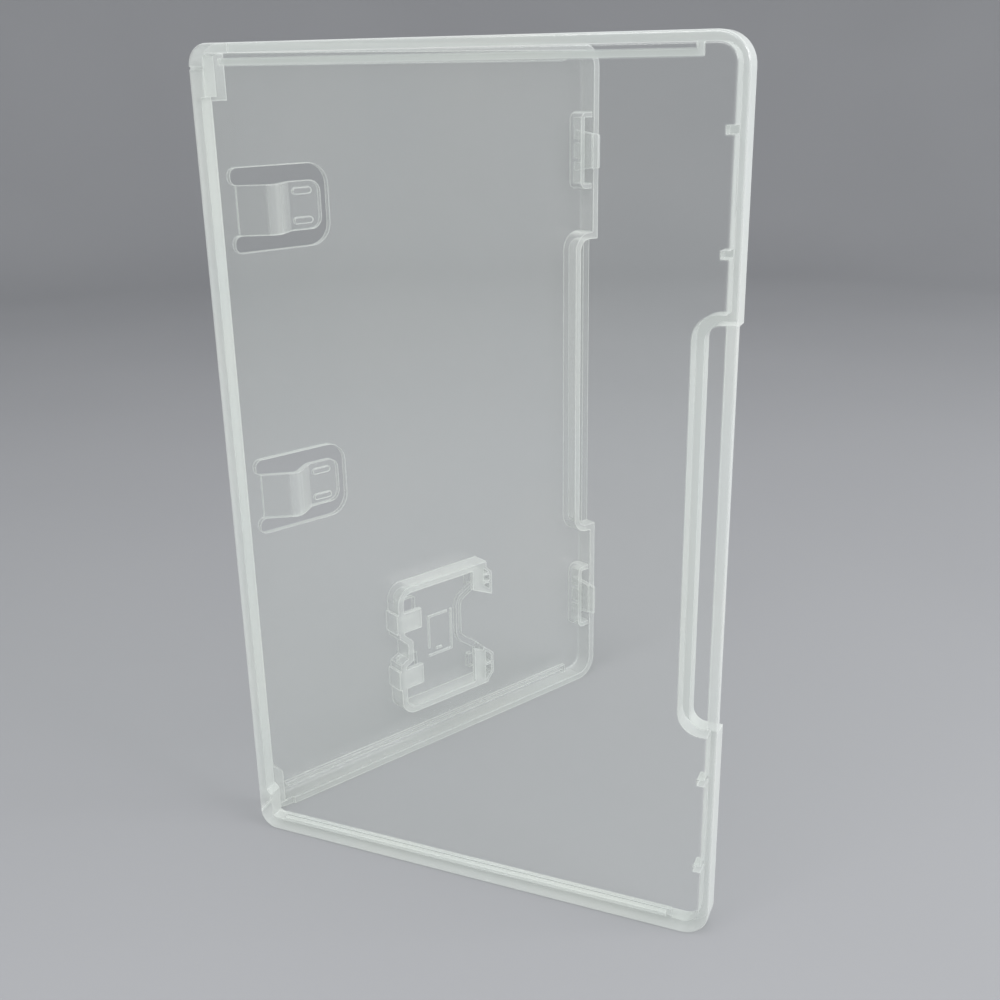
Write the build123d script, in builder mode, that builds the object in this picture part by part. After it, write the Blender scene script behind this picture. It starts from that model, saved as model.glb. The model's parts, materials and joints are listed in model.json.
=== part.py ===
from build123d import *
import os

# Shut case, outside
HEIGHT = 170.0
WIDTH = 105.0
TRAY_DEPTH = 5.85
LID_DEPTH = 4.85
PART_GAP = 0.3
OPEN_ANGLE = 63.0

# Shell of both halves
PANEL = 1.3
WALL = 1.7
LID_EDGE_WALL = 2.2
SPINE_WALL = 1.1
SPINE_CORNER = 4.0
EDGE_CORNER = 5.5
OUTER_EDGE = 0.6
INNER_EDGE = 0.5

# Thumb recess in the middle of the closing edge
RECESS_INSET = 46.4
RECESS_LENGTH = HEIGHT - 2 * RECESS_INSET
RECESS_DEPTH = 5.8
RECESS_CORNER = 2.8
RIM_WIDTH = 2.1
TRAY_RIM = 2.8
LID_RIM = 1.7

# Low bead that runs beside the top and bottom walls and turns into them
BEAD_INSET = 2.8
BEAD_WIDTH = 1.1
BEAD_HEIGHT = 1.0
BEAD_START = 5.9
BEAD_STOP = 7.8
BEAD_END = WIDTH - BEAD_STOP

# Lower rim of the top and bottom walls beside the spine
RELIEF_LENGTH = 5.9
RELIEF_DEPTH = 0.5

# Hinge line along the spine, with a relief notch and a corner post at each end
HINGE_OUT = 0.2
HINGE_RADIUS = 0.45
HINGE_CLEARANCE = 0.05
HINGE_END = 4.6
NOTCH_DEPTH = 0.6
NOTCH_HEIGHT = 0.5
TRAY_LOWER_POST = (2.4, 10.2)
TRAY_UPPER_POST = (3.2, 8.6)
LID_LOWER_POST = (1.3, 7.3)
LID_UPPER_POST = (1.3, 7.8)
POST_BEVEL = 0.8

# Booklet clips: a U-shaped slot around a springy tongue
UPPER_CLIP_INSET = 31.9
LOWER_CLIP_DROP = 8.8
CLIP_CENTRES = (HEIGHT / 2 - LOWER_CLIP_DROP, HEIGHT - UPPER_CLIP_INSET)
SLOT_START = 5.9
SLOT_LENGTH = 22.8
SLOT_HEIGHT = 17.0
SLOT_END_RADIUS = 1.5
SLOT_CORNER = 4.6
TONGUE_WIDTH = 10.2
TONGUE_THICKNESS = 1.1
TONGUE_ROOT = 1.6
TONGUE_CREST = (8.1, 4.0)
TONGUE_FOOT = 13.2
TONGUE_LENGTH = 20.9
TONGUE_BEND = 2.2
TONGUE_CORNER = 2.5
GRIP_START = 13.9
GRIP_SPACING = 6.1
GRIP_SIZE = (4.6, 1.3)
GRIP_RAISE = 0.5

# Card holder: a pinched C-shaped wall around a bay for one game card
BAY_LEFT = 40.1
BAY_BOTTOM = 12.6
BAY_WIDTH = 24.6
BAY_HEIGHT = 31.4
CARD_ROOM = 3.4
HOLDER_WALL = 1.6
HOLDER_HEIGHT = 4.5
HOLDER_CORNER = 3.2
PINCH_DEPTH = 2.4
PINCH_HEIGHTS = (12.2, 13.4, 18.0, 20.2)
TAB_BOTTOMS = (5.8, 21.2)
TAB_HEIGHT = 5.2
TAB_REACH = 5.2
PAD_RAISE = 0.6
KEEPER_WINDOW = 1.2
HOOK_WINDOW = (1.4, 3.6)
HOOK_REACH = 2.8
PRONG_REACH = 3.4
PRONG_SLANT = 2.8
UPPER_PRONG = 6.8
LOWER_PRONG = 11.0
PRONG_CORNER = (3.2, 2.4)
PRONG_WALL = 0.8
HOLLOW_DEPTH = 3.0
HOLLOW_RIB = 0.6
UPPER_RIBS = (1.0, 3.2)
LOWER_RIB = 5.6
RIDGE_INSET = 5.2
RIDGE_WIDTH = 1.6
RIDGE_HEIGHT = 1.1
RIDGE_CURVE = 3.0
RIDGE_SLANT = 3.2
MARK_SIZE = (7.6, 11.4)
MARK_CENTRE = (14.0, 15.3)
MARK_LINE = 0.5
MARK_GAPS = (1.0, 1.9)
MARK_DASH = 1.7
MARK_DASH_PLACE = (3.3, 1.7)
MARK_RAISE = 0.3

# Latches on the closing edge
LATCH_INSET = 24.9
LATCH_CENTRES = (LATCH_INSET, HEIGHT - LATCH_INSET)
POCKET_HEIGHT = 18.2
POCKET_REACH = 3.7
POCKET_WALL = 1.2
POCKET_RAISE = 3.9
POCKET_CORNER = 1.8
LATCH_ROOT_HEIGHT = 9.6
LATCH_HEIGHT = 7.8
LATCH_THICKNESS = 1.3
LATCH_TIP = 0.8
LATCH_STEP = 1.6
LATCH_REACH = 3.1
LATCH_CLEARANCE = 0.3
SNAP = 0.1
SNAP_HEIGHT = 0.8
STAY_SPACING = 4.6
STAY_WIDTH = 0.9
STAY_RAISE = 2.6
GUIDE_SPACING = 19.7
GUIDE_REACH = 1.5
GUIDE_WIDTH = 1.4
GUIDE_DROP = 0.5

CORNER = (Align.MIN, Align.MIN)
HEAD_CORNER = (Align.MIN, Align.MAX)
FROM_LEFT = (Align.MIN, Align.CENTER)
FROM_RIGHT = (Align.MAX, Align.CENTER)
MIDDLE = Plane.XZ.offset(-HEIGHT / 2)
FLOOR = Plane.XY.offset(PANEL)
LATCH_FACE = WIDTH - LID_EDGE_WALL - LATCH_CLEARANCE
LATCH_TOP = TRAY_DEPTH + LATCH_REACH
BAY_RIGHT = BAY_LEFT + BAY_WIDTH
BAY_TOP = BAY_BOTTOM + BAY_HEIGHT
HOLDER_TOP = BAY_TOP + HOLDER_WALL
HOLDER_BOTTOM = BAY_BOTTOM - HOLDER_WALL
PRONG_RIGHT = BAY_RIGHT + PRONG_REACH
UPPER_FOOT = HOLDER_TOP - UPPER_PRONG
LOWER_HEAD = HOLDER_BOTTOM + LOWER_PRONG


def half_shell(depth, edge_wall, rim):
    """One half lying on its outer face, spine along X=0, the same at both ends."""
    with BuildPart() as shell:
        with BuildSketch() as outline:
            Rectangle(WIDTH, HEIGHT, align=CORNER)
            fillet(outline.vertices().group_by(Axis.X)[0], SPINE_CORNER)
            fillet(outline.vertices().group_by(Axis.X)[-1], EDGE_CORNER)
        extrude(amount=depth)
        fillet(shell.faces().sort_by(Axis.Z)[0].edges(), OUTER_EDGE)

        # Cavity behind the panel
        with BuildSketch(FLOOR) as cavity:
            with Locations((SPINE_WALL, WALL)):
                Rectangle(WIDTH - SPINE_WALL - edge_wall, HEIGHT - 2 * WALL, align=CORNER)
            fillet(cavity.vertices().group_by(Axis.X)[0], SPINE_CORNER - SPINE_WALL)
            fillet(cavity.vertices().group_by(Axis.X)[-1], EDGE_CORNER - edge_wall)
        extrude(amount=depth, mode=Mode.SUBTRACT)
        fillet(shell.faces().filter_by_position(Axis.Z, PANEL, PANEL).edges(), INNER_EDGE)

        # Thumb recess: the wall goes round it and the panel runs on as a rim
        with BuildSketch(FLOOR) as recess_wall:
            with Locations((WIDTH, HEIGHT / 2)):
                Rectangle(RECESS_DEPTH + edge_wall, RECESS_LENGTH + 2 * WALL, align=FROM_RIGHT)
            fillet(recess_wall.vertices().group_by(Axis.X)[0], RECESS_CORNER + WALL)
        extrude(amount=depth - PANEL)
        with BuildSketch(FLOOR) as recess:
            with Locations((WIDTH, HEIGHT / 2)):
                Rectangle(2 * RECESS_DEPTH, RECESS_LENGTH)
            fillet(recess.vertices().group_by(Axis.X)[0], RECESS_CORNER)
        extrude(amount=depth, mode=Mode.SUBTRACT)
        with BuildSketch(FLOOR):
            with Locations((WIDTH, HEIGHT / 2)):
                Rectangle(RIM_WIDTH, RECESS_LENGTH, align=FROM_RIGHT)
        extrude(amount=rim - PANEL)

        # Low beads beside the top and bottom walls
        with BuildSketch(FLOOR):
            with Locations((BEAD_START, BEAD_INSET)):
                Rectangle(BEAD_END - BEAD_START, BEAD_WIDTH, align=CORNER)
            with Locations((BEAD_END - BEAD_WIDTH, WALL)):
                Rectangle(BEAD_WIDTH, BEAD_INSET - WALL + BEAD_WIDTH, align=CORNER)
            mirror(about=MIDDLE)
        extrude(amount=BEAD_HEIGHT)

        # Rims of the top and bottom walls, lower beside the spine
        with BuildSketch(Plane.XY.offset(depth - RELIEF_DEPTH)):
            Rectangle(RELIEF_LENGTH, WALL, align=CORNER)
            mirror(about=MIDDLE)
        extrude(amount=RELIEF_DEPTH, mode=Mode.SUBTRACT)

        # Relief notches at the ends of the hinge line
        with BuildSketch():
            with Locations((0, HINGE_END - NOTCH_HEIGHT / 2)):
                Rectangle(2 * NOTCH_DEPTH, NOTCH_HEIGHT)
            mirror(about=MIDDLE)
        extrude(amount=depth, mode=Mode.SUBTRACT)
    return shell.part


def corner_posts(depth, lower, upper):
    """Posts behind the spine wall of a half with its foot at Y=0; the lower one has a bevelled head."""
    with BuildPart() as posts:
        with BuildSketch(FLOOR) as outline:
            with Locations((SPINE_WALL, WALL)):
                Rectangle(*lower, align=CORNER)
            chamfer(outline.vertices().group_by(Axis.Y)[-1].sort_by(Axis.X)[-1], POST_BEVEL * lower[0])
            with Locations((SPINE_WALL, HEIGHT - WALL)):
                Rectangle(*upper, align=HEAD_CORNER)
        extrude(amount=depth - PANEL)
    return posts.part


def booklet_tongue(centre):
    """Springy strip bent into a wave that ends flush with the panel, with two grip beads."""
    root = (SLOT_START, centre, PANEL - TONGUE_THICKNESS / 2)
    with BuildPart() as tongue:
        with BuildSketch(Plane(origin=root, x_dir=(1, 0, 0), z_dir=(0, -1, 0))):
            with BuildLine(mode=Mode.PRIVATE) as wave:
                Polyline((0, 0), (TONGUE_ROOT, 0), TONGUE_CREST, (TONGUE_FOOT, 0), (TONGUE_LENGTH, 0))
                fillet(wave.vertices().sort_by(Axis.X)[1:-1], TONGUE_BEND)
            trace(wave.edges(), line_width=TONGUE_THICKNESS)
        extrude(amount=TONGUE_WIDTH / 2, both=True)
        fillet(tongue.faces().sort_by(Axis.X)[-1].edges().filter_by(Axis.Z), TONGUE_CORNER)
        with BuildSketch(Plane.XY.offset(PANEL - TONGUE_THICKNESS / 2)):
            with Locations((SLOT_START + GRIP_START + GRIP_SIZE[0] / 2, centre)):
                with GridLocations(0, GRIP_SPACING, 1, 2):
                    SlotOverall(*GRIP_SIZE)
        extrude(amount=TONGUE_THICKNESS / 2 + GRIP_RAISE)
    return tongue.part


def latch_tongue(centre):
    """Tongue that stands in a latch pocket, tapers upwards and ends in a thin nose with a snap."""
    with BuildPart() as latch:
        with BuildSketch(Plane.XZ.offset(-centre)):
            with BuildLine():
                Polyline(
                    (LATCH_FACE - LATCH_THICKNESS, PANEL),
                    (LATCH_FACE, PANEL),
                    (LATCH_FACE, LATCH_TOP - 2 * SNAP_HEIGHT),
                    (LATCH_FACE + SNAP, LATCH_TOP - SNAP_HEIGHT),
                    (LATCH_FACE - SNAP, LATCH_TOP),
                    (LATCH_FACE - LATCH_TIP, LATCH_TOP),
                    (LATCH_FACE - LATCH_TIP, LATCH_TOP - LATCH_STEP),
                    (LATCH_FACE - LATCH_THICKNESS, LATCH_TOP - LATCH_STEP),
                    close=True,
                )
            make_face()
        extrude(amount=LATCH_ROOT_HEIGHT / 2, both=True)
        with BuildSketch(Plane.YZ):
            with BuildLine():
                Polyline(
                    (centre - LATCH_ROOT_HEIGHT / 2, PANEL),
                    (centre + LATCH_ROOT_HEIGHT / 2, PANEL),
                    (centre + LATCH_HEIGHT / 2, LATCH_TOP),
                    (centre - LATCH_HEIGHT / 2, LATCH_TOP),
                    close=True,
                )
            make_face()
        extrude(amount=WIDTH, mode=Mode.INTERSECT)
    return latch.part


def prongs(left):
    """Outlines of both prongs on the open side of the card holder, from a given left edge."""
    with BuildSketch() as outline:
        with BuildLine():
            Polyline(
                (left, HOLDER_TOP),
                (PRONG_RIGHT - PRONG_CORNER[0], HOLDER_TOP),
                (PRONG_RIGHT, HOLDER_TOP - PRONG_CORNER[0]),
                (PRONG_RIGHT, UPPER_FOOT - PRONG_SLANT),
                (left, UPPER_FOOT),
                close=True,
            )
        make_face()
        with BuildLine():
            Polyline(
                (left, HOLDER_BOTTOM),
                (PRONG_RIGHT - PRONG_CORNER[1], HOLDER_BOTTOM),
                (PRONG_RIGHT, HOLDER_BOTTOM + PRONG_CORNER[1]),
                (PRONG_RIGHT, LOWER_HEAD - PRONG_SLANT),
                (left, LOWER_HEAD),
                close=True,
            )
        make_face()
    return outline.sketch


with BuildPart() as tray_flat:
    add(half_shell(TRAY_DEPTH, WALL, TRAY_RIM))
    add(corner_posts(TRAY_DEPTH, TRAY_LOWER_POST, TRAY_UPPER_POST))

    # Round hinge line on the outer front edge of the spine wall
    with BuildSketch(Plane.XZ.offset(-HINGE_END)):
        with Locations((-HINGE_OUT, TRAY_DEPTH + PART_GAP / 2)):
            Circle(HINGE_RADIUS)
    extrude(amount=2 * HINGE_END - HEIGHT)

    # Booklet clips: the slot, then the tongue in it
    for centre in CLIP_CENTRES:
        with BuildSketch() as slot:
            with Locations((SLOT_START, centre)):
                Rectangle(SLOT_LENGTH, SLOT_HEIGHT, align=FROM_LEFT)
                Rectangle(TONGUE_ROOT, TONGUE_WIDTH, align=FROM_LEFT, mode=Mode.SUBTRACT)
            fillet(slot.vertices().group_by(Axis.X)[0], SLOT_END_RADIUS)
            fillet(slot.vertices().group_by(Axis.X)[-1], SLOT_CORNER)
        extrude(amount=PANEL, mode=Mode.SUBTRACT)
        add(booklet_tongue(centre))

    # Holder wall: one band with rounded corners, a pinch in its left side and a pad behind each tab
    wall_left = BAY_LEFT - HOLDER_WALL / 2
    wall_top = BAY_TOP + HOLDER_WALL / 2
    wall_bottom = BAY_BOTTOM - HOLDER_WALL / 2
    pinch = [BAY_BOTTOM + height for height in PINCH_HEIGHTS]
    with BuildSketch(FLOOR):
        with BuildLine(mode=Mode.PRIVATE) as band:
            Polyline(
                (BAY_RIGHT + PRONG_REACH / 2, wall_bottom),
                (wall_left, wall_bottom),
                (wall_left, pinch[0]),
                (wall_left + PINCH_DEPTH, pinch[1]),
                (wall_left + PINCH_DEPTH, pinch[2]),
                (wall_left, pinch[3]),
                (wall_left, wall_top),
                (BAY_RIGHT + PRONG_REACH / 2, wall_top),
            )
            corners = band.vertices().group_by(Axis.X)[0]
            fillet([corners.sort_by(Axis.Y)[0], corners.sort_by(Axis.Y)[-1]], HOLDER_CORNER)
        trace(band.edges(), line_width=HOLDER_WALL)
        for bottom in TAB_BOTTOMS:
            with Locations((wall_left, BAY_BOTTOM + bottom)):
                Rectangle(HOLDER_WALL / 2 + PAD_RAISE, TAB_HEIGHT, align=(Align.MAX, Align.MIN))
    extrude(amount=HOLDER_HEIGHT)

    # Prongs on the open side, hooked over the card at the top
    with BuildSketch(FLOOR):
        add(prongs(BAY_RIGHT))
    extrude(amount=HOLDER_HEIGHT)
    with BuildSketch(FLOOR.offset(CARD_ROOM)):
        add(prongs(BAY_RIGHT - HOOK_REACH))
    extrude(amount=HOLDER_HEIGHT - CARD_ROOM)

    # Hollows in the prongs, open to the front, with thin ribs across them
    with BuildSketch(FLOOR.offset(HOLDER_HEIGHT)):
        add(prongs(BAY_RIGHT))
        offset(amount=-PRONG_WALL, kind=Kind.INTERSECTION, mode=Mode.REPLACE)
        rib_heights = [UPPER_FOOT + rib for rib in UPPER_RIBS] + [LOWER_HEAD - LOWER_RIB]
        with Locations(*[(BAY_RIGHT, height) for height in rib_heights]):
            Rectangle(PRONG_REACH, HOLLOW_RIB, align=FROM_LEFT, mode=Mode.SUBTRACT)
    extrude(amount=-HOLLOW_DEPTH, mode=Mode.SUBTRACT)

    # Tabs over the left side of the card
    with BuildSketch(FLOOR.offset(CARD_ROOM)):
        for bottom in TAB_BOTTOMS:
            with Locations((wall_left, BAY_BOTTOM + bottom)):
                Rectangle(TAB_REACH + HOLDER_WALL / 2, TAB_HEIGHT, align=CORNER)
    extrude(amount=HOLDER_HEIGHT - CARD_ROOM)

    # Windows in the panel under the tabs and hooks
    with BuildSketch():
        for bottom in TAB_BOTTOMS:
            with Locations((BAY_LEFT + KEEPER_WINDOW, BAY_BOTTOM + bottom + KEEPER_WINDOW)):
                Rectangle(TAB_REACH, TAB_HEIGHT, align=CORNER)
        with Locations((BAY_RIGHT, UPPER_FOOT + UPPER_PRONG / 4), (BAY_RIGHT, LOWER_HEAD - LOWER_PRONG / 2)):
            Rectangle(*HOOK_WINDOW, align=FROM_RIGHT)
    extrude(amount=PANEL, mode=Mode.SUBTRACT)

    # Curved ridge of the finger cut-out between the prongs
    ridge_x = BAY_RIGHT - RIDGE_INSET
    with BuildSketch(FLOOR):
        with BuildLine(mode=Mode.PRIVATE) as ridge:
            Polyline(
                (BAY_RIGHT + RIDGE_WIDTH / 2, UPPER_FOOT),
                (ridge_x, UPPER_FOOT - RIDGE_SLANT),
                (ridge_x, LOWER_HEAD + RIDGE_SLANT),
                (BAY_RIGHT + RIDGE_WIDTH / 2, LOWER_HEAD - PRONG_SLANT / 2),
            )
            fillet(ridge.vertices().group_by(Axis.X)[0], RIDGE_CURVE)
        trace(ridge.edges(), line_width=RIDGE_WIDTH)
    extrude(amount=RIDGE_HEIGHT)

    # Raised outline of a card on the bay floor, open at two corners, with a short dash in it
    mark_left = BAY_LEFT + MARK_CENTRE[0] - MARK_SIZE[0] / 2
    mark_bottom = BAY_BOTTOM + MARK_CENTRE[1] - MARK_SIZE[1] / 2
    with BuildSketch(FLOOR):
        with Locations((mark_left, mark_bottom)):
            Rectangle(*MARK_SIZE, align=CORNER)
        with Locations((mark_left + MARK_LINE, mark_bottom + MARK_LINE)):
            Rectangle(
                MARK_SIZE[0] - 2 * MARK_LINE,
                MARK_SIZE[1] - 2 * MARK_LINE,
                align=CORNER,
                mode=Mode.SUBTRACT,
            )
            Rectangle(2 * MARK_LINE, MARK_GAPS[1], align=(Align.CENTER, Align.MIN), mode=Mode.SUBTRACT)
        with Locations((mark_left + MARK_SIZE[0] - MARK_LINE, mark_bottom + MARK_SIZE[1])):
            Rectangle(MARK_GAPS[0], 2 * MARK_LINE, align=FROM_RIGHT, mode=Mode.SUBTRACT)
        with Locations((mark_left + MARK_DASH_PLACE[0], mark_bottom + MARK_DASH_PLACE[1])):
            Rectangle(MARK_DASH, MARK_LINE)
    extrude(amount=MARK_RAISE)

    # Latches: a pocket with two stays behind the closing wall, and the tongue that stands in it
    edge_face = WIDTH - WALL
    for centre in LATCH_CENTRES:
        with BuildSketch(FLOOR) as pocket:
            with Locations((edge_face, centre)):
                Rectangle(POCKET_REACH, POCKET_HEIGHT, align=FROM_RIGHT)
            fillet(pocket.vertices().group_by(Axis.X)[0], POCKET_CORNER)
            with Locations((edge_face, centre)):
                Rectangle(
                    POCKET_REACH - POCKET_WALL,
                    POCKET_HEIGHT - 2 * POCKET_WALL,
                    align=FROM_RIGHT,
                    mode=Mode.SUBTRACT,
                )
        extrude(amount=POCKET_RAISE)
        with BuildSketch(FLOOR):
            with Locations((edge_face - POCKET_REACH + POCKET_WALL / 2, centre)):
                with GridLocations(0, STAY_SPACING, 1, 2):
                    Rectangle(POCKET_WALL, STAY_WIDTH, align=FROM_LEFT)
        extrude(amount=STAY_RAISE)
        add(latch_tongue(centre))

with BuildPart() as lid_flat:
    add(half_shell(LID_DEPTH, LID_EDGE_WALL, LID_RIM))

    # The lid lies with its head at Y=0, so its posts change ends
    add(corner_posts(LID_DEPTH, LID_LOWER_POST, LID_UPPER_POST).mirror(MIDDLE))

    # Groove that turns on the hinge line
    with BuildSketch(Plane.XZ):
        with Locations((-HINGE_OUT, LID_DEPTH + PART_GAP / 2)):
            Circle(HINGE_RADIUS + HINGE_CLEARANCE)
    extrude(amount=-HEIGHT, mode=Mode.SUBTRACT)

    # Guide ribs beside each latch, and the catch its tongue snaps behind
    edge_face = WIDTH - LID_EDGE_WALL
    catch_top = LID_DEPTH - (LATCH_REACH - PART_GAP - 2 * SNAP_HEIGHT)
    for centre in LATCH_CENTRES:
        with BuildSketch(FLOOR):
            with Locations((edge_face, centre)):
                with GridLocations(0, GUIDE_SPACING, 1, 2):
                    Rectangle(GUIDE_REACH, GUIDE_WIDTH, align=FROM_RIGHT)
        extrude(amount=LID_DEPTH - PANEL - GUIDE_DROP)
        with BuildSketch(Plane.XZ.offset(-centre)):
            with BuildLine():
                Polyline(
                    (edge_face, catch_top),
                    (edge_face - SNAP, catch_top + SNAP_HEIGHT / 2),
                    (edge_face, catch_top + SNAP_HEIGHT),
                    close=True,
                )
            make_face()
        extrude(amount=LATCH_HEIGHT / 2, both=True)

# Standing frame: origin under the middle of the tray, spine on the left, lid towards -Y
hinge_x = -WIDTH / 2 - HINGE_OUT
hinge_y = -TRAY_DEPTH / 2 - PART_GAP / 2
lid_face_y = hinge_y - PART_GAP / 2 - LID_DEPTH
tray_plane = Plane(origin=(-WIDTH / 2, TRAY_DEPTH / 2, 0), x_dir=(1, 0, 0), z_dir=(0, -1, 0))
lid_plane = Plane(origin=(-WIDTH / 2, lid_face_y, HEIGHT), x_dir=(1, 0, 0), z_dir=(0, 1, 0))
hinge = Axis((hinge_x, hinge_y, 0), (0, 0, 1))

with BuildPart() as tray:
    add(tray_flat.part.moved(tray_plane.location))

with BuildPart() as lid:
    add(lid_flat.part.moved(lid_plane.location).rotate(hinge, -OPEN_ANGLE))

os.makedirs("parts", exist_ok=True)
tray.part.label = "tray"
export_step(tray.part, "parts/tray.step")
lid.part.label = "lid"
export_step(lid.part, "parts/lid.step")
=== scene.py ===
import json
import math

import bmesh
import bpy
from mathutils import Matrix, Vector

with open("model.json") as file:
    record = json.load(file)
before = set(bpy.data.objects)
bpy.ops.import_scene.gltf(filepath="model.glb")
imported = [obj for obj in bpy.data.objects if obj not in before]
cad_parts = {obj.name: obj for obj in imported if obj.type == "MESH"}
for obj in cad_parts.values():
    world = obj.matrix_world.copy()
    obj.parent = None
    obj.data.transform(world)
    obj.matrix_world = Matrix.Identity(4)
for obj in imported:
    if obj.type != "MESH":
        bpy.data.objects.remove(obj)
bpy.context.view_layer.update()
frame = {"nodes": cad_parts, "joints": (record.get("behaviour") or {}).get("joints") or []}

# Clearness of the plastic: 0 is milky and 1 is clear; lengths are in metres
PANEL_CLEARNESS = 0.93
TRAY_CLEARNESS = {"wall": 0.78, "rim": 0.72, "rim_start": 0.0041}
LID_CLEARNESS = {"wall": 0.5, "rim": 0.2, "rim_start": 0.00142}
RIM_BLEND = 0.0003
WALL_TO_PANEL = (0.2, 0.95)
SLANT = (0.45, 0.80)
SLANT_CLEARNESS = (0.3, 0.7)
# The edge values make a pale, nearly opaque band along every edge: a painted highlight for the
# light the edges catch
EDGE_HIGHLIGHT_CLEARNESS = 0.04
EDGE_HIGHLIGHT_WIDTH = 0.00045
EDGE_HIGHLIGHT_TURN = (0.80, 0.98)
EDGE_HIGHLIGHT_SAMPLES = 1

# Colour and gloss of the plastic
PLASTIC_IOR = 1.49
PLASTIC_PALE = (0.93, 0.96, 0.92, 1)
PLASTIC_COOL = (0.90, 0.94, 0.915, 1)
TONE_RANGE = (0.35, 0.65)
GLOW_SHARE = 0.2
FILM_TINT = (0.99, 0.993, 0.99, 1)
FACING_BLEND = 0.5
GLOSS_POWER = 4.0
GLOSS_RANGE = (0.05, 0.85)
ROUGHNESS_RANGE = (0.18, 0.22)
RUB_RANGE = (0.45, 0.70)
RUB_SCALE = 260.0
RUB_STRETCH = (1.0, 1.0, 0.06)
FLOW_SCALE = 38.0
FLOW_HEIGHT = 0.00002

# Light that passes through the plastic
PASSING_PANEL = (0.94, 0.95, 0.94, 1)
PASSING_WALL = (0.78, 0.79, 0.78, 1)
PASSING_LAYERS = 40
SOFT_BOUNCES = 2

# Studio, in metres
STUDIO_GREY = (0.365, 0.37, 0.383, 1)
STUDIO_GREY_DEEP = (0.34, 0.345, 0.358, 1)
STUDIO_ROUGHNESS = 0.9
STUDIO_MOTTLE_SCALE = 7.0
STUDIO_MOTTLE_DETAIL = 1.0
STUDIO_FLAT = 0.75
STUDIO_COVE = 0.45
STUDIO_WALL = 1.3
STUDIO_STEPS = 96
STUDIO_DROP = 0.0002
COVE_STEPS = 16
AMBIENT = (0.78, 0.80, 0.84, 1)
AMBIENT_STRENGTH = 0.55

# Lamps, in metres and watts
LAMPS = {
    "left_softbox": {
        "place": (-0.60, -0.30, 0.90),
        "target": (0.0, -0.03, 0.08),
        "size": (0.70, 0.60),
        "power": 9.2,
    },
    "front_softbox": {
        "place": (0.40, -0.82, 0.56),
        "target": (0.0, -0.03, 0.07),
        "size": (0.70, 0.45),
        "power": 9.0,
    },
}

# Camera, as the photograph was taken: metres, turns, and millimetres for the lens
CAMERA_PLACE = (-0.16603, -0.22534, 0.16502)
CAMERA_YAW = math.radians(39.722)
CAMERA_PITCH = math.radians(19.759)
CAMERA_ROLL = math.radians(1.001)
CAMERA_LENS = 43.44
CAMERA_SENSOR = 36.0
CAMERA_NEAR = 0.01


def add_node(tree, kind, **settings):
    """A node with its settings given by name."""
    node = tree.nodes.new(kind)
    for name, value in settings.items():
        setattr(node, name, value)
    return node


def put(tree, socket, value):
    """Gives an input socket a plain value or another node's output."""
    if isinstance(value, bpy.types.NodeSocket):
        tree.links.new(value, socket)
    else:
        socket.default_value = value


def noise(tree, vector, scale, detail=0.0):
    """Noise of a given scale on the piece's own coordinates."""
    node = add_node(tree, "ShaderNodeTexNoise")
    put(tree, node.inputs["Vector"], vector)
    put(tree, node.inputs["Scale"], scale)
    put(tree, node.inputs["Detail"], detail)
    return node.outputs["Fac"]


def spread(tree, value, low, high, start=0.0, end=1.0):
    """A value that runs from start to end, mapped to low to high and held at both."""
    node = add_node(tree, "ShaderNodeMapRange")
    put(tree, node.inputs["Value"], value)
    put(tree, node.inputs["From Min"], start)
    put(tree, node.inputs["From Max"], end)
    put(tree, node.inputs["To Min"], low)
    put(tree, node.inputs["To Max"], high)
    return node.outputs["Result"]


def worked(tree, operation, *values):
    """What a sum on one or two values gives."""
    node = add_node(tree, "ShaderNodeMath", operation=operation)
    for socket, value in zip(node.inputs, values):
        put(tree, socket, value)
    return node.outputs["Value"]


def along(tree, vector, axis):
    """How far a place or a direction lies along an axis, which is fixed or another direction."""
    node = add_node(tree, "ShaderNodeVectorMath", operation="DOT_PRODUCT")
    put(tree, node.inputs[0], vector)
    put(tree, node.inputs[1], axis)
    return node.outputs["Value"]


def bump(tree, height, distance):
    """A bump of a given height in metres."""
    node = add_node(tree, "ShaderNodeBump")
    put(tree, node.inputs["Height"], height)
    put(tree, node.inputs["Distance"], distance)
    return node.outputs["Normal"]


def two_tone(tree, value, first, second):
    """A colour between two colours."""
    node = add_node(tree, "ShaderNodeMix", data_type="RGBA")
    colours = [socket for socket in node.inputs if socket.type == "RGBA"]
    put(tree, node.inputs["Factor"], value)
    put(tree, colours[0], first)
    put(tree, colours[1], second)
    return [socket for socket in node.outputs if socket.type == "RGBA"][0]


def mixed(tree, factor, first, second):
    """Two shaders mixed by a number or by a node's output."""
    node = add_node(tree, "ShaderNodeMixShader")
    put(tree, node.inputs[0], factor)
    put(tree, node.inputs[1], first)
    put(tree, node.inputs[2], second)
    return node.outputs["Shader"]


def milk(tree, flow, waves, marks):
    """The milky plastic: pale and glossy, and aglow with the light from behind it."""
    tone = spread(tree, flow, 0.0, 1.0, *TONE_RANGE)
    shader = add_node(tree, "ShaderNodeBsdfPrincipled")
    put(tree, shader.inputs["IOR"], PLASTIC_IOR)
    put(tree, shader.inputs["Base Color"], two_tone(tree, tone, PLASTIC_PALE, PLASTIC_COOL))
    put(tree, shader.inputs["Roughness"], marks)
    put(tree, shader.inputs["Normal"], waves)
    glow = add_node(tree, "ShaderNodeBsdfTranslucent")
    put(tree, glow.inputs["Color"], PLASTIC_PALE)
    return mixed(tree, GLOW_SHARE, shader.outputs["BSDF"], glow.outputs["BSDF"])


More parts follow.
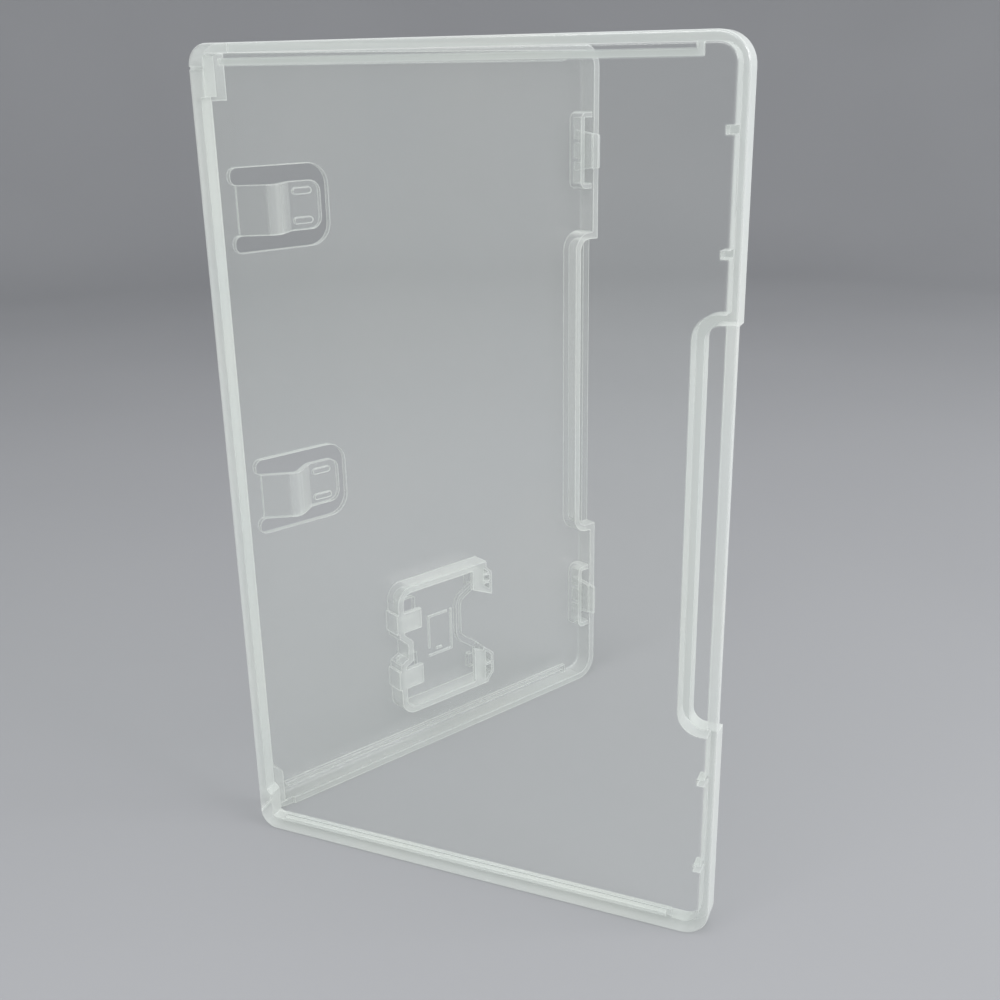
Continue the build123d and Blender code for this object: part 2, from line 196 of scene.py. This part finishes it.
def window(tree, facing, waves, marks):
    """The clear plastic: what is behind shows straight through, under the surface's gloss."""
    film = add_node(tree, "ShaderNodeBsdfTransparent")
    put(tree, film.inputs["Color"], FILM_TINT)
    gloss = add_node(tree, "ShaderNodeBsdfGlossy", distribution="GGX")
    put(tree, gloss.inputs["Roughness"], marks)
    put(tree, gloss.inputs["Normal"], waves)
    shine = spread(tree, worked(tree, "POWER", facing, GLOSS_POWER), *GLOSS_RANGE)
    return mixed(tree, shine, film.outputs["BSDF"], gloss.outputs["BSDF"])


def clearness(tree, rise, flat, facing, half):
    """Clear on panels, milky on walls, rims and raised shapes, palest along the edges, where the
    pale band is a painted highlight for the light the edges catch.
    """
    rim = half["rim_start"]
    level = spread(tree, rise, PANEL_CLEARNESS, half["rim"], rim, rim + RIM_BLEND)
    straight_on = spread(tree, flat, half["wall"], level, *WALL_TO_PANEL)
    slanting = spread(tree, flat, *SLANT_CLEARNESS)
    slant_share = spread(tree, facing, 1.0, slanting, *SLANT)
    # The bevel finds the edges, and the pale band it makes there is a painted highlight
    rounded = add_node(tree, "ShaderNodeBevel", samples=EDGE_HIGHLIGHT_SAMPLES)
    put(tree, rounded.inputs["Radius"], EDGE_HIGHLIGHT_WIDTH)
    sharp = add_node(tree, "ShaderNodeNewGeometry")
    turn = along(tree, rounded.outputs["Normal"], sharp.outputs["Normal"])
    painted_edge_highlight = spread(tree, turn, EDGE_HIGHLIGHT_CLEARNESS, 1.0, *EDGE_HIGHLIGHT_TURN)
    slanted = worked(tree, "MULTIPLY", straight_on, slant_share)
    return worked(tree, "MULTIPLY", slanted, painted_edge_highlight)


def let_light_through(tree, surface, flat):
    """Lamps and soft light pass straight through, tinted, so that the case's shadow is pale."""
    path = add_node(tree, "ShaderNodeLightPath")
    passing = add_node(tree, "ShaderNodeBsdfTransparent")
    put(tree, passing.inputs["Color"], two_tone(tree, flat, PASSING_WALL, PASSING_PANEL))
    for ray in ("Is Shadow Ray", "Is Diffuse Ray"):
        surface = mixed(tree, path.outputs[ray], surface, passing.outputs["BSDF"])
    return surface


def clear_plastic(name, inward, outer, half):
    """Clear polypropylene with flow waves and rub marks, for one half of the case."""
    material = bpy.data.materials.new(name)
    material.use_nodes = True
    tree = material.node_tree
    tree.nodes.clear()
    coordinates = add_node(tree, "ShaderNodeTexCoord")
    place = coordinates.outputs["Object"]
    flow = noise(tree, place, FLOW_SCALE)
    waves = bump(tree, flow, FLOW_HEIGHT)
    stretch = add_node(tree, "ShaderNodeMapping")
    put(tree, stretch.inputs["Vector"], place)
    put(tree, stretch.inputs["Scale"], RUB_STRETCH)
    rub = noise(tree, stretch.outputs["Vector"], RUB_SCALE)
    marks = spread(tree, rub, *ROUGHNESS_RANGE, *RUB_RANGE)
    slope = add_node(tree, "ShaderNodeLayerWeight")
    put(tree, slope.inputs["Blend"], FACING_BLEND)
    facing = slope.outputs["Facing"]

    # Height over the panel's outer face, and how nearly a face lies in the panel's plane
    rise = worked(tree, "SUBTRACT", along(tree, place, inward), outer)
    flat = worked(tree, "ABSOLUTE", along(tree, coordinates.outputs["Normal"], inward))
    clear = clearness(tree, rise, flat, facing, half)
    milky = milk(tree, flow, waves, marks)
    surface = mixed(tree, clear, milky, window(tree, facing, waves, marks))
    output = add_node(tree, "ShaderNodeOutputMaterial")
    put(tree, output.inputs["Surface"], let_light_through(tree, surface, flat))
    return material


def studio_grey():
    """Matt pale grey of the studio floor and wall, faintly mottled."""
    material = bpy.data.materials.new("studio_grey")
    material.use_nodes = True
    tree = material.node_tree
    shader = tree.nodes["Principled BSDF"]
    place = add_node(tree, "ShaderNodeTexCoord").outputs["Object"]
    mottle = noise(tree, place, STUDIO_MOTTLE_SCALE, STUDIO_MOTTLE_DETAIL)
    colour = two_tone(tree, mottle, STUDIO_GREY, STUDIO_GREY_DEEP)
    put(tree, shader.inputs["Base Color"], colour)
    put(tree, shader.inputs["Roughness"], STUDIO_ROUGHNESS)
    put(tree, shader.inputs["Specular IOR Level"], 0.0)
    return material


def studio():
    """Round floor that turns up into a wall on every side."""
    profile = [(STUDIO_FLAT, -STUDIO_DROP)]
    for step in range(1, COVE_STEPS + 1):
        turn = math.pi / 2 * step / COVE_STEPS
        out = STUDIO_FLAT + STUDIO_COVE * math.sin(turn)
        profile.append((out, STUDIO_COVE * (1 - math.cos(turn)) - STUDIO_DROP))
    profile.append((STUDIO_FLAT + STUDIO_COVE, STUDIO_WALL))
    work = bmesh.new()
    rings = []
    for out, height in profile:
        ring = []
        for step in range(STUDIO_STEPS):
            turn = 2 * math.pi * step / STUDIO_STEPS
            ring.append(work.verts.new((out * math.cos(turn), out * math.sin(turn), height)))
        rings.append(ring)
    work.faces.new(rings[0])
    for lower, upper in zip(rings, rings[1:]):
        for step in range(STUDIO_STEPS):
            after = (step + 1) % STUDIO_STEPS
            work.faces.new((lower[step], upper[step], upper[after], lower[after]))
    for face in work.faces:
        face.smooth = True
    mesh = bpy.data.meshes.new("studio")
    work.to_mesh(mesh)
    work.free()
    mesh.materials.append(studio_grey())
    floor = bpy.data.objects.new("studio", mesh)
    bpy.context.scene.collection.objects.link(floor)


def lamps():
    """Soft rectangular lamps above the case, hidden from the camera."""
    for name, made in LAMPS.items():
        light = bpy.data.lights.new(name, "AREA")
        light.shape = "RECTANGLE"
        light.size, light.size_y = made["size"]
        light.energy = made["power"]
        lamp = bpy.data.objects.new(name, light)
        lamp.visible_camera = False
        lamp.location = made["place"]
        aim = Vector(made["target"]) - Vector(made["place"])
        lamp.rotation_euler = aim.to_track_quat("-Z", "Y").to_euler()
        bpy.context.scene.collection.objects.link(lamp)


def ambient():
    """Even light from above the studio wall."""
    world = bpy.data.worlds.new("ambient")
    world.use_nodes = True
    tree = world.node_tree
    background = tree.nodes["Background"]
    put(tree, background.inputs["Color"], AMBIENT)
    put(tree, background.inputs["Strength"], AMBIENT_STRENGTH)
    bpy.context.scene.world = world


def camera():
    """Camera at the photograph's place and angle."""
    data = bpy.data.cameras.new("camera")
    data.lens = CAMERA_LENS
    data.sensor_width = CAMERA_SENSOR
    data.clip_start = CAMERA_NEAR
    eye = bpy.data.objects.new("camera", data)
    turn = Matrix.Rotation(-CAMERA_YAW, 4, "Z")
    tilt = Matrix.Rotation(math.pi / 2 - CAMERA_PITCH, 4, "X")
    roll = Matrix.Rotation(-CAMERA_ROLL, 4, "Z")
    eye.matrix_world = Matrix.Translation(CAMERA_PLACE) @ turn @ tilt @ roll
    bpy.context.scene.collection.objects.link(eye)
    bpy.context.scene.camera = eye


# The lid stands open by the turn that shuts it; inward is from a panel into the shut case
opening = math.radians(-frame["joints"][0]["range_deg"][0])
halves = {
    "tray": (Vector((0.0, -1.0, 0.0)), TRAY_CLEARNESS),
    "lid": (Vector((math.sin(opening), math.cos(opening), 0.0)), LID_CLEARNESS),
}
for node, (inward, half) in halves.items():
    shell = frame["nodes"][node].data
    outer = min(corner.co.dot(inward) for corner in shell.vertices)
    shell.materials.clear()
    shell.materials.append(clear_plastic(f"clear_plastic_{node}", inward, outer, half))

# Enough see-through layers for both halves, and no light tree, which slows so few lamps
bpy.context.scene.cycles.transparent_max_bounces = PASSING_LAYERS
bpy.context.scene.cycles.diffuse_bounces = SOFT_BOUNCES
bpy.context.scene.cycles.use_light_tree = False

studio()
lamps()
ambient()
camera()
bpy.context.scene.view_settings.view_transform = "Standard"
